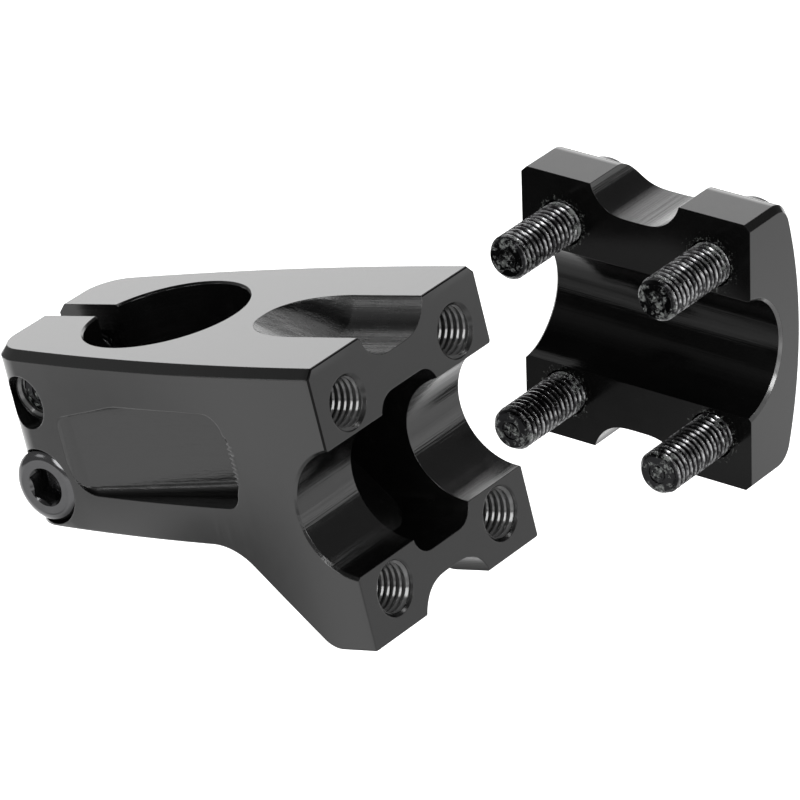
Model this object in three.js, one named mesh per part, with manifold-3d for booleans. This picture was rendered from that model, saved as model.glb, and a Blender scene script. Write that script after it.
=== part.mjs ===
// Front-load handlebar stem with its clamp faceplate taken off and laid beside it. Units mm, +Z up.
// The stem points along +X; the steerer axis is x = y = 0 and the clamp's underside is z = 0.
import * as THREE from "three";
import { mergeVertices } from "three/addons/utils/BufferGeometryUtils.js";
import Module from "manifold-3d";

// Steerer clamp
const STEERER_R = 14.3;
const STEERER_CHAMFER = 0.35;
const CLAMP_HEIGHT = 31.7;
const REAR_X = -27.2;
const REAR_CORNER_R = 8;
const SLOT_Y = [-1.25, 3.85];

// Handlebar clamp
const FACE_X = 47.6;
const BAR_X = 49.55;
const BAR_Z = 6.65;
const BAR_R = 11.2;
const BAR_CHAMFER = 0.5;
const HALF_WIDTH = 23.2;
const LUG_BOTTOM_Z = -17.4;
const HOLE_Y = 15.05;
const HOLE_DZ = 16.35;

// Body faces
const SIDE_ARC_R = 391;
const TOP_BEVEL = 1.5;
const BOTTOM_BEVEL = 0.45;
const GUSSET_START_X = 22.25;
const GUSSET_END_X = 38.5;
const RECESS_REAR_X = -13.3;
const RECESS_FRONT_X = 26.2;
const RECESS_FLOOR_Y = 18.3;
const RECESS_SLOPE = 0.0883;
const RECESS_RUN_IN = 9;

// Channels across the middle of the top, the lugs' underside and the faceplate
const CHANNEL_W = 8.95;
const CHANNEL_D = 5.1;
const LUG_CHANNEL_D = 4.9;
const RAMP_X0 = 20.9;
const RAMP_X1 = 33.4;

// Bolts, M8
const SHANK_R = 4;
const HOLE_R = 4.3;
const HEAD_R = 6.4;
const HEAD_H = 7.4;
const HEAD_RIM = 0.7;
const SEAT_R = 6.8;
const HEX_FLATS = 6;
const HEX_DEPTH = 4.5;
const GAP = 0.3;
const UPPER_HOLE_BOTTOM_X = 29;
const LOWER_HOLE_END_X = 20;

// Pinch bolts
const PINCH_X = -20.4;
const PINCH_UPPER_Z = 22.6;
const PINCH_LOWER_Z = 7.35;
const PINCH_SEAT_Y = 9.9;
const PINCH_LENGTH = 23;
const RELIEF_R = 4.75;
const RELIEF_Y = 13.2;

// Faceplate, in its own frame: x out from the handlebar axis, y left, z up
const PLATE_FACE_X = 1.6;
const PLATE_TOP_Z = 25.3;
const PLATE_BOTTOM_Z = -25.0;
const PLATE_CROWN_X = 18.0;
const PLATE_CROWN_R = 74;
const PLATE_CORNER_R = 5;
const PLATE_BEVEL = 1.1;
const PLATE_SEAT_X = 9.8;
const PLATE_BOLT_LENGTH = 25.2;

// Where the loose faceplate lies: turned a quarter turn to the left, then tilted about its outward axis
const PLATE_TILT = THREE.MathUtils.degToRad(14.25);
const PLATE_AT = new THREE.Vector3(43.116, 65.244, 1.799);

const wasm = await Module();
wasm.setup();

// Solids

function solid(geometry) {
  const g = geometry.clone();
  g.deleteAttribute("normal");
  g.deleteAttribute("uv");
  const merged = mergeVertices(g, 1e-4);
  const vertProperties = new Float32Array(merged.attributes.position.array);
  const triVerts = new Uint32Array(merged.index.array);
  const made = new wasm.Manifold(new wasm.Mesh({ numProp: 3, vertProperties, triVerts }));
  if (made.volume() > 0) return made;
  for (let i = 0; i < triVerts.length; i += 3) {
    [triVerts[i + 1], triVerts[i + 2]] = [triVerts[i + 2], triVerts[i + 1]];
  }
  return new wasm.Manifold(new wasm.Mesh({ numProp: 3, vertProperties, triVerts }));
}

function geometryOf(manifold) {
  const mesh = manifold.getMesh();
  const g = new THREE.BufferGeometry();
  g.setAttribute("position", new THREE.BufferAttribute(new Float32Array(mesh.vertProperties), 3));
  g.setIndex(new THREE.BufferAttribute(new Uint32Array(mesh.triVerts), 1));
  g.computeVertexNormals();
  return g;
}

// A cone or cylinder along one axis between two stations; `at` places it on the other two axes.
function rod(axis, from, to, r0, r1, at = [0, 0], segments = 48) {
  const g = new THREE.CylinderGeometry(r1, r0, Math.abs(to - from), segments);
  const mid = (from + to) / 2;
  if (axis === "x") {
    g.rotateZ(from < to ? -Math.PI / 2 : Math.PI / 2);
    g.translate(mid, at[0], at[1]);
  } else if (axis === "y") {
    if (from > to) g.rotateX(Math.PI);
    g.translate(at[0], mid, at[1]);
  } else {
    g.rotateX(from < to ? Math.PI / 2 : -Math.PI / 2);
    g.translate(at[0], at[1], mid);
  }
  return solid(g);
}

function box(x0, x1, y0, y1, z0, z1) {
  const g = new THREE.BoxGeometry(x1 - x0, y1 - y0, z1 - z0);
  return solid(g.translate((x0 + x1) / 2, (y0 + y1) / 2, (z0 + z1) / 2));
}

function roundedShape(points, radii, segments = 8) {
  const out = [];
  const n = points.length;
  points.forEach(([px, py], i) => {
    const [ax, ay] = points[(i + n - 1) % n];
    const [bx, by] = points[(i + 1) % n];
    const r = radii[i] ?? 0;
    if (!r) {
      out.push(new THREE.Vector2(px, py));
      return;
    }
    const a = new THREE.Vector2(ax - px, ay - py).normalize();
    const b = new THREE.Vector2(bx - px, by - py).normalize();
    const half = Math.acos(THREE.MathUtils.clamp(a.dot(b), -1, 1)) / 2;
    const centre = a.clone().add(b).normalize().multiplyScalar(r / Math.sin(half));
    const start = a.multiplyScalar(r / Math.tan(half)).sub(centre);
    const end = b.multiplyScalar(r / Math.tan(half)).sub(centre);
    const sweep = Math.atan2(start.cross(end), start.dot(end));
    for (let k = 0; k <= segments; k++) {
      const p = start.clone().rotateAround(new THREE.Vector2(), (sweep * k) / segments).add(centre);
      out.push(new THREE.Vector2(px + p.x, py + p.y));
    }
  });
  return out;
}

// A prism of an (x, z) outline between two y stations.
function prismY(points, y0, y1) {
  const g = new THREE.ExtrudeGeometry(new THREE.Shape(points), { depth: y1 - y0, bevelEnabled: false });
  return solid(g.rotateX(Math.PI / 2).translate(0, y1, 0));
}

// A prism of a (y, z) outline between two x stations.
function prismX(points, x0, x1) {
  const g = new THREE.ExtrudeGeometry(new THREE.Shape(points), { depth: x1 - x0, bevelEnabled: false });
  const turn = new THREE.Matrix4().makeBasis(
    new THREE.Vector3(0, 1, 0),
    new THREE.Vector3(0, 0, 1),
    new THREE.Vector3(1, 0, 0),
  );
  return solid(g.applyMatrix4(turn).translate(x0, 0, 0));
}

// Rings with the same number of points, joined in order and closed with flat ends.
function loft(rings) {
  const n = rings[0].length;
  const position = rings.flat().flat();
  const index = [];
  for (let i = 0; i + 1 < rings.length; i++) {
    for (let k = 0; k < n; k++) {
      const a = i * n + k;
      const b = i * n + ((k + 1) % n);
      index.push(a, b, b + n, a, b + n, a + n);
    }
  }
  const last = (rings.length - 1) * n;
  for (let k = 1; k + 1 < n; k++) {
    index.push(0, k + 1, k, last, last + k, last + k + 1);
  }
  const g = new THREE.BufferGeometry();
  g.setAttribute("position", new THREE.Float32BufferAttribute(position, 3));
  g.setIndex(index);
  return solid(g);
}

const cut = (base, tools) => tools.reduce((left, tool) => left.subtract(tool), base);

// Stem body

const sideY = (x) => HALF_WIDTH - (FACE_X - x) ** 2 / (2 * SIDE_ARC_R);

// Half plan outline from the front corner to the rear, taken in by an inset; the front stays where it is.
function halfPlan(inset) {
  const bigY = HALF_WIDTH - SIDE_ARC_R;
  const cx = REAR_X + REAR_CORNER_R;
  const cy = bigY + Math.sqrt((SIDE_ARC_R - REAR_CORNER_R) ** 2 - (FACE_X - cx) ** 2);
  const lean = Math.atan2(FACE_X - cx, cy - bigY);
  const points = [];
  const sideSteps = 36;
  for (let i = 0; i <= sideSteps; i++) {
    const t = (lean * i) / sideSteps;
    const r = SIDE_ARC_R - inset;
    points.push([FACE_X - r * Math.sin(t), bigY + r * Math.cos(t)]);
  }
  const cornerSteps = 12;
  for (let i = 1; i <= cornerSteps; i++) {
    const t = Math.PI / 2 + lean + ((Math.PI / 2 - lean) * i) / cornerSteps;
    const r = REAR_CORNER_R - inset;
    points.push([cx + r * Math.cos(t), cy + r * Math.sin(t)]);
  }
  return points;
}

function planRing(inset, z) {
  const half = halfPlan(inset);
  const mirrored = half.map(([x, y]) => [x, -y]).reverse();
  return [...half, ...mirrored].map(([x, y]) => [x, y, z]);
}

function bottomPath() {
  const z0 = 0;
  return roundedShape(
    [
      [REAR_X, 8],
      [REAR_X, z0],
      [GUSSET_START_X, z0],
      [GUSSET_END_X, LUG_BOTTOM_Z],
      [FACE_X + 4, LUG_BOTTOM_Z],
    ],
    [0, 2.4, 11, 5, 0],
    10,
  );
}

function blank() {
  const plan = wasm.Manifold.hull(
    [
      ...planRing(0, LUG_BOTTOM_Z - 4),
      ...planRing(0, CLAMP_HEIGHT - TOP_BEVEL),
      ...planRing(TOP_BEVEL - 0.1, CLAMP_HEIGHT),
    ],
  );
  const path = bottomPath().filter((p) => p.x < FACE_X + 3.9);
  const side = [
    ...path,
    new THREE.Vector2(FACE_X + 3, LUG_BOTTOM_Z),
    new THREE.Vector2(FACE_X + 3, CLAMP_HEIGHT + 3),
    new THREE.Vector2(REAR_X, CLAMP_HEIGHT + 3),
  ];
  return plan.intersect(prismY(side, -30, 30));
}

// Strips that take a bevel off the lower edge of one flank.
function bottomBevel(sign) {
  const path = bottomPath().slice(1);
  const c = BOTTOM_BEVEL;
  const rings = path.map((p, i) => {
    const before = path[Math.max(i - 1, 0)];
    const after = path[Math.min(i + 1, path.length - 1)];
    const along = after.clone().sub(before).normalize();
    const inward = new THREE.Vector2(-along.y, along.x);
    const at = (depth, out) => {
      const q = p.clone().addScaledVector(inward, depth);
      return [q.x, sign * (sideY(q.x) + out), q.y];
    };
    return [at(-0.5 * c, -1.5 * c), at(1.5 * c, 0.5 * c), at(-2, 2)];
  });
  return loft(rings);
}

// Open channel across the middle of a face; t = 1 is the full section.
function channelSection(width, depth, z, up) {
  const steps = 28;
  const ring = [];
  for (let i = 0; i <= steps; i++) {
    const u = -Math.cos((Math.PI * i) / steps);
    const drop = depth * (1 - Math.abs(u) ** 3.5) ** 0.8;
    ring.push([width * u, z - up * drop]);
  }
  ring.push([width, z + up * 3], [-width, z + up * 3]);
  return ring;
}

function topScoop() {
  const stations = [0.02, 0.05, 0.1, 0.17, 0.26, 0.36, 0.48, 0.6, 0.72, 0.86, 1].map(
    (t) => RAMP_X0 + t * (RAMP_X1 - RAMP_X0),
  );
  stations.push(FACE_X + 2);
  const rings = stations.map((x) => {
    const ramp = Math.min((x - RAMP_X0) / (RAMP_X1 - RAMP_X0), 1);
    const open = Math.min((x - RAMP_X0) / 14, 1);
    const width = CHANNEL_W * (1 - (1 - open) ** 2.2) ** 0.42;
    return channelSection(width, CHANNEL_D * ramp, CLAMP_HEIGHT, 1).map(([y, z]) => [x, y, z]);
  });
  return loft(rings);
}

function lugNotch() {
  const ring = channelSection(CHANNEL_W, LUG_CHANNEL_D, LUG_BOTTOM_Z, -1);
  return prismX(ring.map(([y, z]) => new THREE.Vector2(y, z)), 24, FACE_X + 2);
}

// Deep pocket between the two pairs of threaded holes.
function centrePocket() {
  const front = roundedShape(
    [
      [-7.85, -7.7],
      [7.85, -7.7],
      [7.85, 20.6],
      [-7.85, 20.6],
    ],
    [4, 4, 4, 4],
  );
  const side = roundedShape(
    [
      [60, 22],
      [22, 22],
      [22, 6.1],
      [36.3, -9.2],
      [60, -9.2],
    ],
    [0, 4, 5, 0, 0],
  );
  return prismX(front, 15, 60).intersect(prismY(side, -10, 10));
}

// Milled recess in one flank, its floor starting at the surface and going deeper towards the front.
function sideRecess(sign) {
  const outline = roundedShape(
    [
      [RECESS_REAR_X, 6.85],
      [RECESS_FRONT_X, 6.85],
      [RECESS_FRONT_X, 23.65],
      [2.0, 23.65],
      [RECESS_REAR_X, 20.4],
    ],
    [7, 2.8, 4.2, 14, 2.5],
  );
  const y0 = sign > 0 ? 10 : -30;
  const tool = prismY(outline, y0, y0 + 20);
  const keepOut = [[30, 0]];
  for (let x = 30; x >= RECESS_REAR_X - 2; x -= 1) {
    const along = Math.max(x - RECESS_REAR_X, 0);
    const full = sideY(x) - RECESS_FLOOR_Y + RECESS_SLOPE * along;
    const eased = Math.min(Math.max(along / RECESS_RUN_IN, 0), 1);
    keepOut.push([x, sideY(x) - Math.max(full * eased ** 2 * (3 - 2 * eased), 0.05)]);
  }
  keepOut.push([-16, keepOut.at(-1)[1]], [-16, 0]);
  const g = new THREE.ExtrudeGeometry(
    new THREE.Shape(keepOut.map(([x, y]) => new THREE.Vector2(x, sign * y))),
    { depth: 60, bevelEnabled: false },
  );
  return tool.subtract(solid(g.translate(0, 0, -10)));
}

function pinchHole(z, headSign) {
  const at = [PINCH_X, z];
  return [
    rod("y", -30, 30, HOLE_R, HOLE_R, at, 40),
    rod("y", headSign * PINCH_SEAT_Y, headSign * 30, SEAT_R, SEAT_R, at),
    rod("y", -headSign * RELIEF_Y, -headSign * 30, RELIEF_R, RELIEF_R, at, 40),
  ];
}

function clampHole(y, z, endX) {
  const at = [y, z];
  return [
    rod("x", endX, FACE_X + 1, HOLE_R, HOLE_R, at, 40),
    rod("x", FACE_X - 0.5, FACE_X + 0.5, HOLE_R, HOLE_R + 1, at, 40),
  ];
}

function stemBody() {
  const c = STEERER_CHAMFER;
  const tools = [
    bottomBevel(1),
    bottomBevel(-1),
    rod("z", -5, CLAMP_HEIGHT + 5, STEERER_R, STEERER_R, [0, 0], 96),
    rod("z", CLAMP_HEIGHT - c, CLAMP_HEIGHT + 1, STEERER_R, STEERER_R + c + 1, [0, 0], 96),
    rod("z", c, -1, STEERER_R, STEERER_R + c + 1, [0, 0], 96),
    box(REAR_X - 5, -8, SLOT_Y[0], SLOT_Y[1], -5, CLAMP_HEIGHT + 5),
    rod("y", -30, 30, BAR_R, BAR_R, [BAR_X, BAR_Z], 96),
    centrePocket(),
    topScoop(),
    lugNotch(),
    ...pinchHole(PINCH_UPPER_Z, 1),
    ...pinchHole(PINCH_LOWER_Z, -1),
  ];
  for (const sign of [-1, 1]) {
    const face = sign * HALF_WIDTH;
    tools.push(
      rod("y", face - sign * BAR_CHAMFER, face + sign, BAR_R, BAR_R + BAR_CHAMFER + 1, [BAR_X, BAR_Z], 96),
      sideRecess(sign),
      ...clampHole(sign * HOLE_Y, BAR_Z + HOLE_DZ, UPPER_HOLE_BOTTOM_X),
      ...clampHole(sign * HOLE_Y, BAR_Z - HOLE_DZ, LOWER_HOLE_END_X),
    );
  }
  return cut(blank(), tools);
}

// Faceplate

function plateOutline(inset) {
  const crownX = PLATE_CROWN_X - PLATE_CROWN_R;
  const midZ = (PLATE_TOP_Z + PLATE_BOTTOM_Z) / 2;
  const reach = PLATE_CROWN_R - PLATE_CORNER_R;
  const cornerZ = (PLATE_TOP_Z - PLATE_BOTTOM_Z) / 2 - PLATE_CORNER_R;
  const cornerX = crownX + Math.sqrt(reach ** 2 - cornerZ ** 2);
  const lean = Math.atan2(cornerZ, cornerX - crownX);
  const upper = [[PLATE_FACE_X, (PLATE_TOP_Z - PLATE_BOTTOM_Z) / 2 - inset]];
  for (let i = 0; i <= 8; i++) {
    const t = Math.PI / 2 + ((lean - Math.PI / 2) * i) / 8;
    const r = PLATE_CORNER_R - inset;
    upper.push([cornerX + r * Math.cos(t), cornerZ + r * Math.sin(t)]);
  }
  for (let i = 1; i < 10; i++) {
    const t = lean * (1 - i / 10);
    const r = PLATE_CROWN_R - inset;
    upper.push([crownX + r * Math.cos(t), r * Math.sin(t)]);
  }
  const middle = [PLATE_CROWN_X - inset, 0];
  const lower = upper.map(([x, z]) => [x, -z]).reverse();
  return [...upper, middle, ...lower].map(([x, z]) => [x, z + midZ]);
}

function faceplate() {
  const rings = [];
  for (const sign of [-1, 1]) {
    rings.push(...plateOutline(0).map(([x, z]) => [x, sign * (HALF_WIDTH - PLATE_BEVEL), z]));
    rings.push(...plateOutline(PLATE_BEVEL).map(([x, z]) => [x, sign * HALF_WIDTH, z]));
  }
  const channel = (z, up) =>
    prismX(
      channelSection(CHANNEL_W, CHANNEL_D, z, up).map(([y, w]) => new THREE.Vector2(y, w)),
      -5,
      25,
    );
  const tools = [
    rod("y", -30, 30, BAR_R, BAR_R, [0, 0], 96),
    channel(PLATE_TOP_Z, 1),
    channel(PLATE_BOTTOM_Z, -1),
  ];
  for (const sign of [-1, 1]) {
    const face = sign * HALF_WIDTH;
    tools.push(rod("y", face - sign * BAR_CHAMFER, face + sign, BAR_R, BAR_R + BAR_CHAMFER + 1, [0, 0], 96));
    for (const z of [-HOLE_DZ, HOLE_DZ]) {
      const at = [sign * HOLE_Y, z];
      tools.push(rod("x", -5, 25, HOLE_R, HOLE_R, at, 40), rod("x", PLATE_SEAT_X, 25, SEAT_R, SEAT_R, at));
    }
  }
  return cut(wasm.Manifold.hull(rings), tools);
}

// Socket-head bolt along +x: head underside at x = 0, shank to x = -length.
function bolt(length) {
  const rim = HEAD_RIM;
  const head = [
    rod("x", 0, HEAD_H - rim, HEAD_R, HEAD_R, [0, 0], 48),
    rod("x", HEAD_H - rim - 0.01, HEAD_H, HEAD_R, HEAD_R - rim, [0, 0], 48),
    rod("x", -length + 0.6, 0.01, SHANK_R, SHANK_R, [0, 0], 40),
    rod("x", -length, -length + 0.61, SHANK_R - 0.6, SHANK_R, [0, 0], 40),
  ].reduce((whole, piece) => whole.add(piece));
  const corner = HEX_FLATS / Math.sqrt(3);
  return head.subtract(rod("x", HEAD_H - HEX_DEPTH, HEAD_H + 1, corner, corner, [0, 0], 6));
}

// Assembly

const anodised = () => new THREE.MeshStandardMaterial({ color: 0x101113, metalness: 0.6, roughness: 0.25 });
const boltSteel = () => new THREE.MeshStandardMaterial({ color: 0x2a2a2b, metalness: 0.9, roughness: 0.35 });

function piece(name, manifold, material, position = [0, 0, 0], rotationZ = 0) {
  const mesh = new THREE.Mesh(geometryOf(manifold), material);
  mesh.name = name;
  mesh.position.set(...position);
  mesh.rotation.z = rotationZ;
  return mesh;
}

const stem = new THREE.Group();
stem.name = "handlebar_stem";
stem.add(
  piece("stem_body", stemBody(), anodised()),
  piece(
    "pinch_bolt_upper",
    bolt(PINCH_LENGTH),
    boltSteel(),
    [PINCH_X, PINCH_SEAT_Y + GAP, PINCH_UPPER_Z],
    Math.PI / 2,
  ),
  piece(
    "pinch_bolt_lower",
    bolt(PINCH_LENGTH),
    boltSteel(),
    [PINCH_X, -PINCH_SEAT_Y - GAP, PINCH_LOWER_Z],
    -Math.PI / 2,
  ),
);

const looseFront = new THREE.Group();
looseFront.position.copy(PLATE_AT);
looseFront.rotation.set(0, PLATE_TILT, Math.PI / 2, "YZX");
looseFront.add(piece("faceplate", faceplate(), anodised()));
for (const [level, up] of [["upper", 1], ["lower", -1]]) {
  for (const [side, left] of [["left", 1], ["right", -1]]) {
    const at = [PLATE_SEAT_X + GAP, left * HOLE_Y, up * HOLE_DZ];
    looseFront.add(piece(`clamp_bolt_${level}_${side}`, bolt(PLATE_BOLT_LENGTH), boltSteel(), at));
  }
}
stem.add(looseFront);

export default stem;
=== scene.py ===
# Front-load handlebar stem: machined body, loose faceplate and six M8 bolts, in a white studio.
# Shapes are made in millimetres and scaled to metres when each piece is finished.
import math

import bmesh
import bpy
from mathutils import Matrix, Vector


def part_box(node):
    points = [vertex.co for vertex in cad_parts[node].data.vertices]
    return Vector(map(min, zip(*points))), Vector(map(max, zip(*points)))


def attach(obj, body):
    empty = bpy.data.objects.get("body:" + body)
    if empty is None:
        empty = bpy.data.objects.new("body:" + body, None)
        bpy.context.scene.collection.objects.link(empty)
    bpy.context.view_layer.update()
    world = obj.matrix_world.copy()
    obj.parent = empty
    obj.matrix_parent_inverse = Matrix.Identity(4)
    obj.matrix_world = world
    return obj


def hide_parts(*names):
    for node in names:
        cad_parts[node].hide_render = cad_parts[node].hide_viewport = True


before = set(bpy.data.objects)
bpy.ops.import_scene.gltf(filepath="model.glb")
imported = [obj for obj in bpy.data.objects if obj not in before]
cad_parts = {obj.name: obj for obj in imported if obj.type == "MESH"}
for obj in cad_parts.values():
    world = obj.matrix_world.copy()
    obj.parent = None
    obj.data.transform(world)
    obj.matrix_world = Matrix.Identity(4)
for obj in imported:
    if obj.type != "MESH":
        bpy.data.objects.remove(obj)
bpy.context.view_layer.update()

MM = 0.001

# Steerer clamp
STEERER_R = 14.3
STEERER_CHAMFER = 0.35
TOP_Z = 31.7
REAR_X = -27.2
REAR_CORNER_R = 8.0
SLOT_Y = (-1.25, 3.85)

# Handlebar clamp
FACE_X = 47.6
BAR_X = 49.55
BAR_Z = 6.65
BAR_R = 11.2
BAR_CHAMFER = 0.5
HALF_WIDTH = 23.2
LUG_BOTTOM_Z = -17.4
HOLE_Y = 15.05
HOLE_DZ = 16.35
COUNTERSINK_R = 4.75

# Outer faces
SIDE_ARC_R = 391.0
TOP_BEVEL = 1.5
BOTTOM_BEVEL = 0.45
FRONT_EDGE = 0.3
REAR_EDGE_R = 2.4
GUSSET_START_X = 22.25
GUSSET_START_R = 11
GUSSET_END_X = 38.5
GUSSET_END_R = 5

# Side recesses, whose floor runs closer to the middle towards the front; radii run from the bottom
# rear corner round by the front to the top rear one
RECESS_REAR_X = -13.3
RECESS_TURN_X = 2.0
RECESS_FRONT_X = 26.2
RECESS_BOTTOM_Z = 6.85
RECESS_TOP_Z = 23.65
RECESS_REAR_TOP_Z = 20.4
RECESS_BOTTOM_RADII = (6, 2.8)
RECESS_TOP_RADII = (4.2, 14, 2.5)
RECESS_FLOOR_Y = 18.3
RECESS_SLOPE = 0.0883
RECESS_RUN_IN = 4.0
RECESS_FILLET = 2.2
FLARE_OUT = 1.3
FLARE_DEPTH = 0.45
FLARE_Z = (9.5, 20.5)
SCALLOP_PITCH = 0.8

# Pocket between the two pairs of threaded holes
POCKET_Y = 7.85
POCKET_Z = (-7.7, 20.6)
POCKET_BACK_X = 22.0
POCKET_STEP = (36.3, 6.1)
POCKET_CORNER_R = 4.0
POCKET_STEP_R = 5

# Bolts and their holes
PITCH = 1.25
ROOT_FLAT = 0.25
CREST = (0.5625, 0.6875)
BOLT_R = 3.97
BOLT_ROOT_R = 3.33
TAPPED_R = 4.1
TAPPED_ROOT_R = 4.62
CLEARANCE_R = 4.3
HEAD_R = 6.4
HEAD_H = 7.4
HEAD_ROUND_H = 0.9
HEAD_ROUND_R = 1.6
HEX_FLATS = 6.0
HEX_DEPTH = 4.5
SEAT_R = 6.8
SEAT_GAP = 0.3
CLAMP_BOLT_LENGTH = 25.2
PINCH_BOLT_LENGTH = 23.0
UPPER_THREAD_X = 29.5
LOWER_THREAD_X = 20.0
PINCH_X = -20.4
PINCH_UPPER_Z = 22.6
PINCH_LOWER_Z = 7.35
PINCH_SEAT_Y = 9.9
RELIEF_R = 4.75
RELIEF_Y = 13.2

# Faceplate, in its own frame: x out from the bar, y left, z up
PLATE_FACE_X = 1.6
PLATE_TOP_Z = 25.3
PLATE_BOTTOM_Z = -25.0
PLATE_CROWN_X = 18.0
PLATE_CROWN_R = 74.0
PLATE_CORNER_R = 5.0
PLATE_BEVEL = 1.1
PLATE_SEAT_X = 9.8

# Channels across the top and bottom
CHANNEL_W = 8.95
CHANNEL_D = 5.1
LUG_CHANNEL_D = 4.9
RAMP_X0 = 20.9
RAMP_X1 = 33.4
RAMP_WIDENS = 14.0

# Noise is squeezed to this along the way a cutter ran, which draws it out into machining lines
RUN = 0.01

# Studio, in metres
FLOOR_Z = -0.11
FLOOR_SIDE = 4.0
FLOOR_GLOW = 1.05
LIGHT_DISTANCE = 1.6

# Camera, in metres and degrees
CAMERA_AT = (0.69904, -0.75316, 0.34849)
CAMERA_TURN = 40.956
CAMERA_TIP = 71.614
CAMERA_ROLL = -14.07
CAMERA_LENS = 290.8


def unit(value):
    """The value kept between 0 and 1."""
    return min(max(value, 0), 1)


# Materials


class Nodes:
    """Adds shader nodes to one material and links them."""

    def __init__(self, name):
        self.material = bpy.data.materials.new(name)
        self.material.use_nodes = True
        self.tree = self.material.node_tree
        self.shader = self.tree.nodes["Principled BSDF"]

    def add(self, kind, inputs=None, **settings):
        node = self.tree.nodes.new(kind)
        for key, value in settings.items():
            setattr(node, key, value)
        for key, value in (inputs or {}).items():
            self.feed(node.inputs[key], value)
        return node

    def feed(self, socket, value):
        if isinstance(value, bpy.types.NodeSocket):
            self.tree.links.new(value, socket)
        else:
            socket.default_value = value

    def scaled(self, stretch):
        """Object coordinates in millimetres, squeezed by a factor along each axis."""
        where = self.add("ShaderNodeTexCoord").outputs["Object"]
        scale = [factor / MM for factor in stretch]
        return self.add("ShaderNodeMapping", {"Vector": where, "Scale": scale}).outputs["Vector"]

    def noise(self, stretch, scale=1.0, detail=2.0, rough=0.5):
        inputs = {"Vector": self.scaled(stretch), "Scale": scale, "Detail": detail, "Roughness": rough}
        return self.add("ShaderNodeTexNoise", inputs).outputs["Fac"]

    def remap(self, value, low, high, to_low, to_high):
        inputs = {"Value": value, "From Min": low, "From Max": high, "To Min": to_low, "To Max": to_high}
        return self.add("ShaderNodeMapRange", inputs).outputs["Result"]

    def math(self, operation, a, b):
        node = self.add("ShaderNodeMath", operation=operation)
        self.feed(node.inputs[0], a)
        self.feed(node.inputs[1], b)
        return node.outputs[0]

    def mix_colour(self, factor, a, b):
        node = self.add("ShaderNodeMix", data_type="RGBA")
        self.feed(node.inputs["Factor"], factor)
        self.feed(node.inputs[6], a)
        self.feed(node.inputs[7], b)
        return node.outputs[2]


def black_alloy(
    name, stretch=(1, 1, 1), line_depth=0.0, line_scale=7.0, rough=0.2, edge=0.16, bare=0.0, gloss=0.5
):
    """Gloss black anodised metal over machining lines; bare lets some plain metal show."""
    n = Nodes(name)
    lines = n.noise(stretch, line_scale, 3.0, 0.6)
    wide = n.noise(stretch, line_scale * 0.18, 1.0)
    cloud = n.noise((1, 1, 1), 0.35, 3.0)
    grain = n.noise((1, 1, 1), 14.0, 2.0)
    dark = [0.002 + 0.2 * bare] * 3 + [1]
    light = [0.0036 + 0.4 * bare] * 3 + [1]
    n.feed(n.shader.inputs["Base Color"], n.mix_colour(cloud, dark, light))
    n.feed(n.shader.inputs["Metallic"], bare)
    uneven = n.math("ADD", cloud, lines)
    n.feed(n.shader.inputs["Roughness"], n.remap(uneven, 0.6, 1.4, rough * 0.8, rough * 1.3))
    n.feed(n.shader.inputs["IOR"], 1.52)
    n.feed(n.shader.inputs["Specular IOR Level"], gloss)
    fine, coarse = n.math("MULTIPLY", lines, line_depth), n.math("MULTIPLY", wide, line_depth * 2)
    height = n.math("ADD", fine, coarse)
    height = n.math("ADD", height, n.math("MULTIPLY", grain, 0.0012))
    rounded = n.add("ShaderNodeBevel", {"Radius": edge * MM}, samples=6).outputs["Normal"]
    bump = n.add("ShaderNodeBump", {"Height": height, "Normal": rounded, "Strength": 1.0, "Distance": MM})
    n.feed(n.shader.inputs["Normal"], bump.outputs["Normal"])
    return n


def hole_distance(n):
    """Millimetres from the axis of the nearest of the faceplate's four holes, in its own frame."""
    where = n.add("ShaderNodeVectorMath", {0: n.scaled((0, 1, 1))}, operation="ABSOLUTE").outputs["Vector"]
    holes = (0, HOLE_Y, HOLE_DZ)
    return n.add("ShaderNodeVectorMath", {0: where, 1: holes}, operation="DISTANCE").outputs["Value"]


def plate_inside(name):
    """The faceplate's flat inner side: the same black, with dry thread locker round the bolts."""
    n = black_alloy(name, rough=0.12, gloss=0.1)
    near = n.remap(hole_distance(n), 4.1, 6.4, 0.16, -0.02)
    specks = n.math("ADD", n.noise((1, 1, 1), 1.3, 6.0, 0.75), near)
    dust = n.remap(specks, 0.66, 0.74, 0.0, 1.0)
    base = n.shader.inputs["Base Color"].links[0].from_socket
    n.feed(n.shader.inputs["Base Color"], n.mix_colour(dust, base, (0.10, 0.105, 0.10, 1)))
    return n


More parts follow.
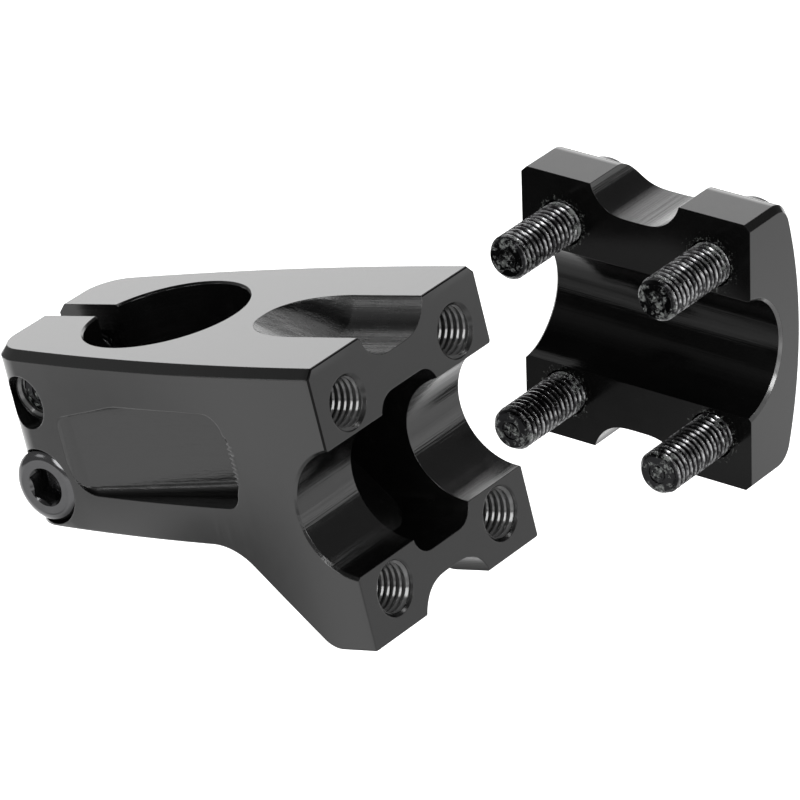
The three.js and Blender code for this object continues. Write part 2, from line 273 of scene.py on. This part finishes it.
def bolt_steel(name):
    """Black-oxide steel, bright on the worn crests, with dry thread locker at the tip and by the plate."""
    n = Nodes(name)
    turned = n.noise((1.0, 0.05, 0.05), 9.0, 2.0)
    cloud = n.noise((1, 1, 1), 0.6, 3.0)
    flecks = n.noise((1, 1, 1), 0.7, 6.0, 0.72)
    patches = n.noise((2.0, 0.7, 0.7), 1.1, 3.0, 0.6)
    axial = n.add("ShaderNodeSeparateXYZ", {"Vector": n.scaled((1, 1, 1))}).outputs["X"]
    across = n.scaled((0, 1, 1))
    radius = n.add("ShaderNodeVectorMath", {0: across}, operation="LENGTH").outputs["Value"]
    head = n.remap(axial, -0.3, 0.0, 0.0, 1.0)
    tip = n.remap(axial, -19.0, -23.5, 0.0, 0.09)
    collar = n.remap(n.math("ABSOLUTE", n.math("ADD", axial, 9.0), 0.0), 0.3, 1.8, 0.14, 0.0)
    patchy = n.math("ADD", n.math("ADD", flecks, tip), n.math("SUBTRACT", collar, head))
    dust = n.remap(patchy, 0.62, 0.72, 0.0, 1.0)
    crest = n.math("MULTIPLY", n.remap(radius, 3.6, 3.9, 0.0, 1.0), n.remap(patches, 0.42, 0.6, 0.08, 1.0))
    shank = n.mix_colour(crest, (0.015, 0.015, 0.016, 1), (0.4, 0.4, 0.405, 1))
    worn = n.mix_colour(head, shank, (0.08, 0.08, 0.082, 1))
    n.feed(n.shader.inputs["Base Color"], n.mix_colour(dust, worn, (0.17, 0.18, 0.172, 1)))
    n.feed(n.shader.inputs["Metallic"], n.remap(dust, 0.0, 1.0, 0.95, 0.2))
    smooth = n.remap(cloud, 0.3, 0.7, 0.1, 0.2)
    n.feed(n.shader.inputs["Roughness"], n.math("ADD", smooth, n.math("MULTIPLY", dust, 0.35)))
    height = n.math("ADD", n.math("MULTIPLY", turned, 0.006), n.math("MULTIPLY", dust, 0.05))
    rounded = n.add("ShaderNodeBevel", {"Radius": 0.08 * MM}, samples=4).outputs["Normal"]
    bump = n.add("ShaderNodeBump", {"Height": height, "Normal": rounded, "Strength": 1.0, "Distance": MM})
    n.feed(n.shader.inputs["Normal"], bump.outputs["Normal"])
    return n


ALLOY = [
    made.material
    for made in (
        black_alloy("alloy_outside", rough=0.12, edge=0.25),
        black_alloy("alloy_along_x", (RUN, 1, 1), 0.03, 5.0, rough=0.15),
        black_alloy("alloy_along_y", (1, RUN, 1), 0.035, 3.0, rough=0.13, gloss=0.6),
        black_alloy("alloy_rings_z", (RUN, RUN, 1), 0.03, 4.0, rough=0.14),
        black_alloy("alloy_rough", rough=0.22),
        black_alloy("alloy_scoop", (RUN, 1, 1), 0.05, 3.0, rough=0.25, gloss=0.7),
        black_alloy("alloy_tapped", rough=0.12, edge=0.08, bare=0.35),
        plate_inside("alloy_plate_inside"),
        black_alloy("alloy_plate_bore", (1, RUN, 1), 0.02, 4.0, rough=0.12, gloss=0.14),
        black_alloy("alloy_edge", rough=0.2, gloss=0.08),
        black_alloy("alloy_rim", rough=0.15, edge=0.1, bare=0.3, gloss=0.9),
    )
]
FINISHES = range(len(ALLOY))
OUTSIDE, ALONG_X, ALONG_Y, RINGS_Z, ROUGH, SCOOP, TAPPED, PLATE_INSIDE, PLATE_BORE, EDGE, RIM = FINISHES
STEEL = [bolt_steel("bolt_steel_worn").material]


# Solids


def solid(verts, faces, finish=OUTSIDE, materials=ALLOY):
    mesh = bpy.data.meshes.new("solid")
    mesh.from_pydata([tuple(v) for v in verts], [], faces)
    for material in materials:
        mesh.materials.append(material)
    bm = bmesh.new()
    bm.from_mesh(mesh)
    bmesh.ops.remove_doubles(bm, verts=bm.verts, dist=1e-4)
    bmesh.ops.recalc_face_normals(bm, faces=bm.faces)
    for face in bm.faces:
        face.material_index = finish
    bm.to_mesh(mesh)
    bm.free()
    obj = bpy.data.objects.new("solid", mesh)
    bpy.context.collection.objects.link(obj)
    return obj


def loft(rings, **options):
    """Rings of equal length joined in order, with flat ends."""
    n = len(rings[0])
    verts = [p for ring in rings for p in ring]
    faces = [tuple(reversed(range(n)))]
    for i in range(len(rings) - 1):
        for k in range(n):
            a, b = i * n + k, i * n + (k + 1) % n
            faces.append((a, b, b + n, a + n))
    faces.append(tuple(range((len(rings) - 1) * n, len(rings) * n)))
    return solid(verts, faces, **options)


def on_axis(axis, station, u, v):
    """A point at a station along an axis, with u and v along the other two in x, y, z order."""
    return {"x": (station, u, v), "y": (u, station, v), "z": (u, v, station)}[axis]


def lathe(axis, profile, at=(0.0, 0.0), steps=64, phase=0.0, **options):
    """Rings of the given (station, radius) pairs about an axis through at."""
    rings = []
    for station, radius in profile:
        ring = []
        for k in range(steps):
            t = phase + 2 * math.pi * k / steps
            ring.append(on_axis(axis, station, at[0] + radius * math.cos(t), at[1] + radius * math.sin(t)))
        rings.append(ring)
    return loft(rings, **options)


def bore(axis, low, high, radius, chamfer, at, steps=96, **options):
    flare = radius + chamfer + 1
    profile = [(low - 1, flare), (low + chamfer, radius), (high - chamfer, radius), (high + 1, flare)]
    return lathe(axis, profile, at, steps, **options)


def rounded(points, radii, steps=12):
    """An outline whose corners are arcs of the given radii."""
    out = []
    for i, (p, r) in enumerate(zip(points, radii)):
        p = Vector(p)
        if not r:
            out.append(p)
            continue
        a = (Vector(points[i - 1]) - p).normalized()
        b = (Vector(points[(i + 1) % len(points)]) - p).normalized()
        half = a.angle(b) / 2
        centre = (a + b).normalized() * (r / math.sin(half))
        start, end = a * (r / math.tan(half)) - centre, b * (r / math.tan(half)) - centre
        sweep = math.atan2(start.x * end.y - start.y * end.x, start.dot(end))
        for k in range(steps + 1):
            t = sweep * k / steps
            x = start.x * math.cos(t) - start.y * math.sin(t)
            y = start.x * math.sin(t) + start.y * math.cos(t)
            out.append(p + centre + Vector((x, y)))
    return out


def inset_corners(points, inset):
    """The corners of a counter-clockwise outline moved in from every edge."""
    out = []
    for i, p in enumerate(points):
        p = Vector(p)
        a = (p - Vector(points[i - 1])).normalized()
        b = (Vector(points[(i + 1) % len(points)]) - p).normalized()
        na, nb = Vector((-a.y, a.x)), Vector((-b.y, b.x))
        out.append(p + (na + nb) * (inset / (1 + na.dot(nb))))
    return out


def prism(axis, outline, low, high, **options):
    return loft([[on_axis(axis, s, p[0], p[1]) for p in outline] for s in (low, high)], **options)


def thread(axis, low, high, minor, major, at=(0.0, 0.0), steps=48, **options):
    """A V-thread of M8 pitch as one helical strip, closed by a fan at each end."""
    shape = [(0.0, minor), (ROOT_FLAT, minor), (CREST[0], major), (CREST[1], major)]
    m = len(shape)
    rows = (int((high - low) / PITCH) - 1) * m
    verts, faces = [], []
    for i in range(steps):
        t = 2 * math.pi * i / steps
        for j in range(rows + m + 1):
            rise, radius = shape[j % m]
            station = low + PITCH * (j // m + rise + i / steps)
            verts.append(on_axis(axis, station, at[0] + radius * math.cos(t), at[1] + radius * math.sin(t)))
    stride = rows + m + 1
    for i in range(steps):
        last = i == steps - 1
        for j in range(rows):
            a, b = i * stride + j, (j + m) if last else (i + 1) * stride + j
            faces.append((a, b, b + 1, a + 1))
    foot = [i * stride for i in range(steps)] + list(range(m, 0, -1))
    top = [i * stride + rows for i in range(steps)] + list(range(rows + m, rows, -1))
    for loop, station in ((foot, low), (top, low + PITCH * (rows / m + 1))):
        centre = len(verts)
        verts.append(on_axis(axis, station, at[0], at[1]))
        faces.extend((loop[k], loop[(k + 1) % len(loop)], centre) for k in range(len(loop)))
    used = sorted({v for face in faces for v in face})
    new = {v: k for k, v in enumerate(used)}
    return solid([verts[v] for v in used], [tuple(new[v] for v in f) for f in faces], **options)


def combine(base, others, operation="DIFFERENCE"):
    for other in others:
        modifier = base.modifiers.new("boolean", "BOOLEAN")
        modifier.operation = operation
        modifier.solver = "MANIFOLD"
        modifier.object = other
        evaluated = base.evaluated_get(bpy.context.evaluated_depsgraph_get())
        mesh = bpy.data.meshes.new_from_object(evaluated)
        base.modifiers.remove(modifier)
        base.data = mesh
        bpy.data.objects.remove(other)
    return base


def repaint(obj, old, new, chosen):
    """Gives the faces of one finish another one, where their middle and normal are chosen."""
    for face in obj.data.polygons:
        if face.material_index == old and chosen(face.center, face.normal):
            face.material_index = new


# Stem body


def side_y(x):
    return HALF_WIDTH - (FACE_X - x) ** 2 / (2 * SIDE_ARC_R)


def half_plan(inset):
    big_y = HALF_WIDTH - SIDE_ARC_R
    cx = REAR_X + REAR_CORNER_R
    cy = big_y + math.sqrt((SIDE_ARC_R - REAR_CORNER_R) ** 2 - (FACE_X - cx) ** 2)
    lean = math.atan2(FACE_X - cx, cy - big_y)
    points = []
    for i in range(49):
        t, r = lean * i / 48, SIDE_ARC_R - inset
        points.append((FACE_X - r * math.sin(t), big_y + r * math.cos(t)))
    for i in range(1, 21):
        t, r = math.pi / 2 + lean + (math.pi / 2 - lean) * i / 20, REAR_CORNER_R - inset
        points.append((cx + r * math.cos(t), cy + r * math.sin(t)))
    return points


def plan_ring(inset, z):
    half = half_plan(inset)
    return [(x, y, z) for x, y in half] + [(x, -y, z) for x, y in reversed(half)]


def body_blank():
    rings = [
        plan_ring(0, LUG_BOTTOM_Z - 4),
        plan_ring(0, TOP_Z - TOP_BEVEL),
        plan_ring(TOP_BEVEL - 0.1, TOP_Z),
    ]
    block = loft(rings)
    side = rounded(
        [
            (REAR_X, TOP_Z + 3),
            (REAR_X, 0),
            (GUSSET_START_X, 0),
            (GUSSET_END_X, LUG_BOTTOM_Z),
            (FACE_X + 3, LUG_BOTTOM_Z),
            (FACE_X + 3, TOP_Z + 3),
        ],
        [0, REAR_EDGE_R, GUSSET_START_R, GUSSET_END_R, 0, 0],
        16,
    )
    block = combine(block, [prism("y", side, -30, 30)], "INTERSECT")
    bevel_edges(block, BOTTOM_BEVEL, lambda p: p.z < 3 and p.x < FACE_X - 0.1)
    bevel_edges(block, FRONT_EDGE, lambda p: p.x > FACE_X - 0.01, EDGE)
    return block


def bevel_edges(block, width, chosen, finish=OUTSIDE):
    """Rounds the sharp edges whose middles are chosen."""
    bm = bmesh.new()
    bm.from_mesh(block.data)
    edges = []
    for edge in bm.edges:
        middle = (edge.verts[0].co + edge.verts[1].co) / 2
        if len(edge.link_faces) == 2 and edge.calc_face_angle() > math.radians(40) and chosen(middle):
            edges.append(edge)
    bmesh.ops.bevel(bm, geom=edges, offset=width, segments=2, profile=0.5, affect="EDGES", material=finish)
    bm.to_mesh(block.data)
    bm.free()


def channel(width, depth, z, up, steps=40):
    """Section of an open channel cut down from (or up into) the plane z."""
    ring = []
    for i in range(steps + 1):
        u = -math.cos(math.pi * i / steps)
        ring.append((width * u, z - up * depth * (1 - abs(u) ** 3.5) ** 0.8))
    return ring + [(width, z + up * 3), (-width, z + up * 3)]


def top_scoop():
    rings = []
    for i in range(1, 49):
        x = RAMP_X0 + (RAMP_X1 - RAMP_X0) * (i / 48) ** 1.5
        ramp = (x - RAMP_X0) / (RAMP_X1 - RAMP_X0)
        opening = min((x - RAMP_X0) / RAMP_WIDENS, 1)
        width = CHANNEL_W * (1 - (1 - opening) ** 2.2) ** 0.42
        rings.append([(x, y, z) for y, z in channel(width, CHANNEL_D * ramp, TOP_Z, 1)])
    rings.append([(FACE_X + 2, y, z) for y, z in channel(CHANNEL_W, CHANNEL_D, TOP_Z, 1)])
    return loft(rings, finish=SCOOP)


def centre_pocket():
    low, high = POCKET_Z
    corners = [(-POCKET_Y, low), (POCKET_Y, low), (POCKET_Y, high), (-POCKET_Y, high)]
    front = rounded(corners, [POCKET_CORNER_R] * 4)
    above, below = high + 1.4, low - 1.5
    step_x, step_z = POCKET_STEP
    corners = [(60, above), (POCKET_BACK_X, above), (POCKET_BACK_X, step_z), (step_x, below), (60, below)]
    side = rounded(corners, [0, POCKET_CORNER_R, POCKET_STEP_R, 0, 0])
    pocket = prism("x", front, 15, 60, finish=ROUGH)
    return combine(pocket, [prism("y", side, -10, 10, finish=ROUGH)], "INTERSECT")


def recess_depth(x):
    """How far the recess floor lies below the flank, leaving out its run-in."""
    return side_y(x) - RECESS_FLOOR_Y + RECESS_SLOPE * (x - RECESS_REAR_X)


def recess_outlines():
    """The recess seen from the side: its rim, and the rim moved in by the fillet."""
    scallops = [(RECESS_FRONT_X, FLARE_Z[0] + 0.3 + SCALLOP_PITCH / 4 * i) for i in range(48)]
    low, high = (RECESS_FRONT_X, RECESS_BOTTOM_Z), (RECESS_FRONT_X, RECESS_TOP_Z)
    upper = [(RECESS_TURN_X, RECESS_TOP_Z), (RECESS_REAR_X, RECESS_REAR_TOP_Z)]
    corners = [(RECESS_REAR_X, RECESS_BOTTOM_Z), low, *scallops, high, *upper]
    radii = [*RECESS_BOTTOM_RADII, *[0] * len(scallops), *RECESS_TOP_RADII]
    foot_radii = [max(r - RECESS_FILLET, 0) for r in radii]
    return rounded(corners, radii), rounded(inset_corners(corners, RECESS_FILLET), foot_radii)


def recess_line(rim, foot, sign, steps=8):
    """Points from the floor round the fillet, up the wall to its scalloped flare, and out past the flank."""
    depth = recess_depth(rim.x)
    share = min(max(depth / (RECESS_FILLET + 0.3), 0.05), 1)
    line = []
    for i in range(steps + 1):
        t = math.pi / 2 * i / steps
        p = rim.lerp(foot, share * (1 - math.sin(t)))
        line.append((p.x, share * RECESS_FILLET * (1 - math.cos(t)), p.y))
    flare = FLARE_OUT if rim.x > RECESS_FRONT_X - 0.01 else 0
    flare *= unit((rim.y - FLARE_Z[0]) / 3) * unit((FLARE_Z[1] - rim.y) / 3)
    scallop = 0.25 * flare * math.sin(2 * math.pi * rim.y / SCALLOP_PITCH)
    line.append((rim.x + scallop, max(depth - FLARE_DEPTH, share * RECESS_FILLET), rim.y))
    outer_x = rim.x + flare * (1 + 0.1 / FLARE_DEPTH)
    line += [(outer_x, depth + 0.1, rim.y), (outer_x, depth + 6, rim.y)]
    floor_y = side_y(rim.x) - depth
    return [(x, sign * (floor_y + proud), z) for x, proud, z in line]


def recess_run_in(sign):
    """Keeps the recess shallow at its rear and eases it down to its floor."""
    outline = [(40, 0), (40, 40), (RECESS_REAR_X - 2, 40)]
    for i in range(-2, 47):
        x = RECESS_REAR_X + i * 0.5
        along = (x - RECESS_REAR_X) / RECESS_RUN_IN
        eased = unit(along)
        share = eased**2 * (3 - 2 * eased) + max(along - 1, 0) ** 2
        outline.append((x, max(side_y(x) - max(recess_depth(x) * share, 0.05), 0)))
    return prism("z", [(x, sign * y) for x, y in outline], 0, 30, finish=ALONG_X)


def side_recess(sign):
    """Cutter for one flank, whose floor deepens forward."""
    lines = [recess_line(rim, foot, sign) for rim, foot in zip(*recess_outlines())]
    return combine(loft(list(zip(*lines)), finish=ALONG_X), [recess_run_in(sign)], "INTERSECT")


def pinch_holes(z, head):
    """Cutters for one pinch bolt whose head is on the +Y (head = 1) or -Y (head = -1) side."""
    at = (PINCH_X, z)
    seat = sorted((head * PINCH_SEAT_Y, head * 30))
    relief = sorted((-head * RELIEF_Y, -head * 30))
    plain = sorted((-head * 0.5, head * 30))
    tapped = sorted((0, -head * (RELIEF_Y + 1.6)))
    return [
        lathe("y", [(s, CLEARANCE_R) for s in plain], at, finish=ROUGH),
        lathe("y", [(s, SEAT_R) for s in seat], at, 72, finish=ROUGH),
        lathe("y", [(s, RELIEF_R) for s in relief], at, finish=ROUGH),
        thread("y", tapped[0] - 1, tapped[1] + 1, TAPPED_R, TAPPED_ROOT_R, at, finish=TAPPED),
    ]


def clamp_holes(y, z, end_x):
    at = (y, z)
    return [
        thread("x", end_x, FACE_X + 2.6, TAPPED_R, TAPPED_ROOT_R, at, finish=TAPPED),
        lathe("x", [(FACE_X - 0.5, COUNTERSINK_R - 0.5), (FACE_X + 1, COUNTERSINK_R + 1)], at, finish=ROUGH),
    ]


def stem_body():
    low, high = SLOT_Y
    slot = [(-40, low), (-8, low), (-8, high), (-40, high)]
    cutters = [
        bore("z", 0, TOP_Z, STEERER_R, STEERER_CHAMFER, (0, 0), 128, finish=RINGS_Z),
        prism("z", slot, -5, 40, finish=ALONG_X),
        bore("y", -HALF_WIDTH, HALF_WIDTH, BAR_R, BAR_CHAMFER, (BAR_X, BAR_Z), 128, finish=ALONG_Y),
        centre_pocket(),
        top_scoop(),
        prism("x", channel(CHANNEL_W, LUG_CHANNEL_D, LUG_BOTTOM_Z, -1), 24, FACE_X + 2, finish=ALONG_X),
        side_recess(-1),
        side_recess(1),
        *pinch_holes(PINCH_UPPER_Z, 1),
        *pinch_holes(PINCH_LOWER_Z, -1),
    ]
    for y in (-HOLE_Y, HOLE_Y):
        cutters += clamp_holes(y, BAR_Z + HOLE_DZ, UPPER_THREAD_X)
        cutters += clamp_holes(y, BAR_Z - HOLE_DZ, LOWER_THREAD_X)
    body = combine(body_blank(), cutters)
    repaint(body, EDGE, OUTSIDE, lambda at, normal: at.z < 0)
    return body


# Faceplate


def plate_outline(inset):
    crown_x = PLATE_CROWN_X - PLATE_CROWN_R
    middle = (PLATE_TOP_Z + PLATE_BOTTOM_Z) / 2
    half = (PLATE_TOP_Z - PLATE_BOTTOM_Z) / 2
    corner_z = half - PLATE_CORNER_R
    corner_x = crown_x + math.sqrt((PLATE_CROWN_R - PLATE_CORNER_R) ** 2 - corner_z**2)
    lean = math.atan2(corner_z, corner_x - crown_x)
    upper = [(PLATE_FACE_X, half - inset)]
    for i in range(15):
        t, r = math.pi / 2 + (lean - math.pi / 2) * i / 14, PLATE_CORNER_R - inset
        upper.append((corner_x + r * math.cos(t), corner_z + r * math.sin(t)))
    for i in range(1, 20):
        t, r = lean * (1 - i / 20), PLATE_CROWN_R - inset
        upper.append((crown_x + r * math.cos(t), r * math.sin(t)))
    lower = [(x, -z) for x, z in reversed(upper)]
    return [(x, z + middle) for x, z in upper + [(PLATE_CROWN_X - inset, 0)] + lower]


def faceplate():
    inner = HALF_WIDTH - PLATE_BEVEL
    stations = [(-HALF_WIDTH, PLATE_BEVEL), (-inner, 0), (inner, 0), (HALF_WIDTH, PLATE_BEVEL)]
    block = loft([[(x, y, z) for x, z in plate_outline(inset)] for y, inset in stations])
    cutters = [
        bore("y", -HALF_WIDTH, HALF_WIDTH, BAR_R, BAR_CHAMFER, (0, 0), 128, finish=PLATE_BORE),
        prism("x", channel(CHANNEL_W, CHANNEL_D, PLATE_TOP_Z, 1), -5, 25, finish=ALONG_X),
        prism("x", channel(CHANNEL_W, CHANNEL_D, PLATE_BOTTOM_Z, -1), -5, 25, finish=ALONG_X),
    ]
    for y in (-HOLE_Y, HOLE_Y):
        for z in (-HOLE_DZ, HOLE_DZ):
            cutters.append(lathe("x", [(-5, CLEARANCE_R), (25, CLEARANCE_R)], (y, z), finish=ROUGH))
            cutters.append(lathe("x", [(PLATE_SEAT_X, SEAT_R), (25, SEAT_R)], (y, z), 72, finish=ROUGH))
    plate = combine(block, cutters)
    repaint(plate, OUTSIDE, PLATE_INSIDE, lambda at, normal: normal.x < -0.99)
    repaint(plate, PLATE_BORE, RIM, lambda at, normal: abs(normal.y) > 0.3)
    return plate


# Bolts


def tip_marks(tip):
    """Cutters for a ring and a cross sunk into the end of a bolt."""
    ring_out, ring_in, cross_w = 1.75, 1.35, 0.22
    steel = {"materials": STEEL}
    ring = lathe("x", [(tip - 1, ring_out), (tip + 0.2, ring_out)], steps=48, **steel)
    plug = lathe("x", [(tip - 2, ring_in), (tip + 1, ring_in)], steps=48, **steel)
    marks = [combine(ring, [plug])]
    for along, across in ((ring_in, cross_w), (cross_w, 1.0)):
        corners = [(-along, -across), (along, -across), (along, across), (-along, across)]
        marks.append(prism("x", corners, tip - 1, tip + 0.18, **steel))
    return marks


def bolt(length):
    """Socket-head bolt along +x with its head's underside at x = 0."""
    steel = {"materials": STEEL}
    thread_end = 3.0
    shank = thread("x", -length - 3, thread_end + 2, BOLT_ROOT_R, BOLT_R, **steel)
    envelope = [(-length, BOLT_R - 0.75), (-length + 0.75, BOLT_R), (thread_end, BOLT_R)]
    shank = combine(shank, [lathe("x", envelope, steps=96, **steel)], "INTERSECT")
    head = [(-0.2, BOLT_R + 0.05), (0, HEAD_R - 0.25), (0.25, HEAD_R)]
    for i in range(9):
        t = math.pi / 2 * i / 8
        drop, inset = 1 - math.sin(t) ** 1.4, 1 - math.cos(t) ** 1.4
        head.append((HEAD_H - HEAD_ROUND_H * drop, HEAD_R - HEAD_ROUND_R * inset))
    body = combine(lathe("x", head, steps=96, **steel), [shank], "UNION")
    corner = HEX_FLATS / math.sqrt(3)
    floor = HEAD_H - HEX_DEPTH
    cutters = [
        lathe("x", [(floor, corner), (HEAD_H + 1, corner)], steps=6, phase=math.pi / 6, **steel),
        lathe("x", [(floor - 1.1, 0.3), (floor + 0.1, HEX_FLATS / 2)], steps=48, **steel),
        lathe("x", [(HEAD_H - 0.5, HEX_FLATS / 2), (HEAD_H + 1, HEX_FLATS / 2 + 1.5)], steps=48, **steel),
    ]
    body = combine(body, cutters)
    return combine(body, tip_marks(-length))


# Pieces


def finished(name, obj, body, node, matrix=Matrix.Identity(4)):
    """Scales a solid to metres, shades it, and hands it to the frame in place of a CAD node."""
    obj.name = obj.data.name = name
    obj.data.transform(Matrix.Scale(MM, 4))
    obj.data.shade_smooth()
    obj.data.set_sharp_from_angle(angle=math.radians(27))
    weighted = obj.modifiers.new("weighted", "WEIGHTED_NORMAL")
    weighted.keep_sharp = True
    weighted.weight = 100
    obj.matrix_world = matrix
    bpy.context.view_layer.update()
    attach(obj, body)
    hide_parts(node)


def plate_matrix():
    """The faceplate's own frame, from where its four bolts stand: x out, y left, z up."""
    middle = {}
    for level in ("upper", "lower"):
        for side in ("left", "right"):
            low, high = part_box(f"clamp_bolt_{level}_{side}")
            middle[level, side] = (Vector(low) + Vector(high)) / 2
    left = (middle["upper", "left"] - middle["upper", "right"]).normalized()
    up = (middle["upper", "left"] - middle["lower", "left"]).normalized()
    out = left.cross(up)
    centre = sum(middle.values(), Vector()) / 4
    inner_face = Vector(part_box("faceplate")[0]).dot(out)
    at = centre - out * (centre.dot(out) - inner_face + PLATE_FACE_X * MM)
    matrix = Matrix((out, left, up)).transposed().to_4x4()
    matrix.translation = at
    return matrix


def placed_bolt(pattern, node, matrix, spin):
    """A copy of a bolt in place of a CAD node, turned about its own axis by spin degrees."""
    copy = pattern.copy()
    copy.data = pattern.data.copy()
    bpy.context.collection.objects.link(copy)
    turn = Matrix.Rotation(math.radians(spin), 4, "X")
    finished(node + "_threaded", copy, node, node, matrix @ turn)


def clamp_bolts(plate):
    pattern = bolt(CLAMP_BOLT_LENGTH)
    for level, up in (("upper", 1), ("lower", -1)):
        for side, left in (("left", 1), ("right", -1)):
            at = Vector((PLATE_SEAT_X + SEAT_GAP, left * HOLE_Y, up * HOLE_DZ)) * MM
            spin = 20 + 37 * left + 53 * up
            placed_bolt(pattern, f"clamp_bolt_{level}_{side}", plate @ Matrix.Translation(at), spin)
    bpy.data.objects.remove(pattern)


def pinch_bolts():
    pattern = bolt(PINCH_BOLT_LENGTH)
    for level, z, side, spin in (("upper", PINCH_UPPER_Z, 1, 12), ("lower", PINCH_LOWER_Z, -1, 0)):
        at = Matrix.Translation(Vector((PINCH_X, side * (PINCH_SEAT_Y + SEAT_GAP), z)) * MM)
        placed_bolt(pattern, f"pinch_bolt_{level}", at @ Matrix.Rotation(side * math.pi / 2, 4, "Z"), spin)
    bpy.data.objects.remove(pattern)


finished("body_machined", stem_body(), "stem", "stem_body")
PLATE = plate_matrix()
finished("faceplate_machined", faceplate(), "faceplate", "faceplate", PLATE)
clamp_bolts(PLATE)
pinch_bolts()


# Studio


# Dim patches of the floor, out of the camera's view, that the black faces mirror:
# x, y, the radius of the dimmest part, the radius where the dimming ends, and the glow left
FLOOR_PATCHES = (
    (-0.02, -0.05, 0.06, 0.115, 0.1),
    (-0.15, -0.14, 0.02, 0.055, 0.1),
    (-0.18, -0.175, 0.02, 0.055, 0.1),
    (-0.212, -0.208, 0.02, 0.055, 0.1),
    (-0.36, -0.2, 0.05, 0.13, 0.4),
    (0.31, -0.26, 0.08, 0.22, 0.05),
    (0.12, 0.06, 0.06, 0.14, 0.1),
    (0.42, -0.02, 0.06, 0.16, 0.1),
    (0.27, 0.25, 0.1, 0.3, 0.4),
)


def studio_floor():
    """A pale floor that glows evenly but for its dim patches."""
    mesh = bpy.data.meshes.new("floor")
    side, z = FLOOR_SIDE, FLOOR_Z
    corners = [(-side, -side, z), (side, -side, z), (side, side, z), (-side, side, z)]
    mesh.from_pydata(corners, [], [(0, 1, 2, 3)])
    n = Nodes("floor_white")
    tone = n.noise((0.002, 0.002, 0.002), 1.0, 2.0)
    n.feed(n.shader.inputs["Base Color"], n.mix_colour(tone, (0.72, 0.72, 0.72, 1), (0.76, 0.76, 0.76, 1)))
    n.feed(n.shader.inputs["Roughness"], 0.9)
    where = n.add("ShaderNodeTexCoord").outputs["Object"]
    glow = FLOOR_GLOW
    for x, y, near, far, least in FLOOR_PATCHES:
        spot = {0: where, 1: (x, y, z)}
        reach = n.add("ShaderNodeVectorMath", spot, operation="DISTANCE").outputs["Value"]
        glow = n.math("MULTIPLY", glow, n.remap(reach, near, far, least, 1.0))
    n.feed(n.shader.inputs["Emission Color"], (1, 1, 1, 1))
    n.feed(n.shader.inputs["Emission Strength"], glow)
    mesh.materials.append(n.material)
    obj = bpy.data.objects.new("floor", mesh)
    bpy.context.collection.objects.link(obj)


# Name, azimuth, elevation, width and height in metres, and radiance
LIGHTS = (
    ("back_wall", 214, 18, (1.5, 0.68), 2.15),
    ("back_middle", 212, 36, (1.5, 0.36), 1.5),
    ("back_upper", 195, 56, (1.5, 0.42), 1.1),
    ("key_right", 73, 12, (0.5, 0.55), 8.0),
    ("front_left", 358, 22, (0.55, 0.6), 7.0),
    ("rear_left", 266, 5, (0.32, 0.4), 2.2),
    ("fillet_left", 318, 24, (0.4, 0.3), 2.8),
    ("spot_front", 28, 40, (0.22, 0.22), 9.0),
    ("spot_high", 60, 61, (0.3, 0.3), 8.0),
    ("spot_right", 130, 49, (0.25, 0.25), 8.0),
)


def softbox(name, azimuth, elevation, size, radiance):
    """An area light aimed at the stem; azimuth 0 is on its -Y side and 90 on its +X side."""
    light = bpy.data.lights.new(name, "AREA")
    light.shape = "RECTANGLE"
    light.size, light.size_y = size
    light.energy = radiance * math.pi * size[0] * size[1]
    a, e = math.radians(azimuth), math.radians(elevation)
    back = Vector((math.sin(a) * math.cos(e), -math.cos(a) * math.cos(e), math.sin(e)))
    obj = bpy.data.objects.new(name, light)
    obj.location = back * LIGHT_DISTANCE
    obj.rotation_mode = "QUATERNION"
    obj.rotation_quaternion = back.to_track_quat("Z", "Y")
    bpy.context.collection.objects.link(obj)


def studio_world():
    """Dim above, brighter towards the horizon."""
    world = bpy.data.worlds.new("studio")
    world.use_nodes = True
    tree = world.node_tree
    where = tree.nodes.new("ShaderNodeTexCoord").outputs["Generated"]
    split = tree.nodes.new("ShaderNodeSeparateXYZ")
    tree.links.new(where, split.inputs[0])
    strength = tree.nodes.new("ShaderNodeMath")
    strength.operation = "MULTIPLY"
    for slot, axis, limits in (
        (0, "Z", {"From Min": 0.6, "From Max": 0.9, "To Min": 0.42, "To Max": 0.03}),
        (1, "Y", {"From Min": -0.3, "From Max": 0.7, "To Min": 1.0, "To Max": 0.35}),
    ):
        fade = tree.nodes.new("ShaderNodeMapRange")
        tree.links.new(split.outputs[axis], fade.inputs["Value"])
        for key, value in limits.items():
            fade.inputs[key].default_value = value
        tree.links.new(fade.outputs["Result"], strength.inputs[slot])
    background = tree.nodes["Background"]
    background.inputs["Color"].default_value = (1, 1, 1, 1)
    tree.links.new(strength.outputs[0], background.inputs["Strength"])
    bpy.context.scene.world = world


def photo_camera():
    """Looks at the stem from ahead, to its right and above, rolled as the photograph is."""
    camera = bpy.data.objects.new("camera", bpy.data.cameras.new("camera"))
    camera.data.sensor_width = 36
    camera.data.lens = CAMERA_LENS
    camera.data.clip_start = 0.05
    camera.data.clip_end = 20
    camera.location = CAMERA_AT
    turn = Matrix.Rotation(math.radians(CAMERA_TURN), 4, "Z")
    tip = Matrix.Rotation(math.radians(CAMERA_TIP), 4, "X")
    roll = Matrix.Rotation(math.radians(CAMERA_ROLL), 4, "Z")
    camera.rotation_mode = "QUATERNION"
    camera.rotation_quaternion = (turn @ tip @ roll).to_quaternion()
    bpy.context.collection.objects.link(camera)
    bpy.context.scene.camera = camera


studio_floor()
studio_world()
for light in LIGHTS:
    softbox(*light)
photo_camera()
bpy.context.scene.view_settings.view_transform = "Standard"
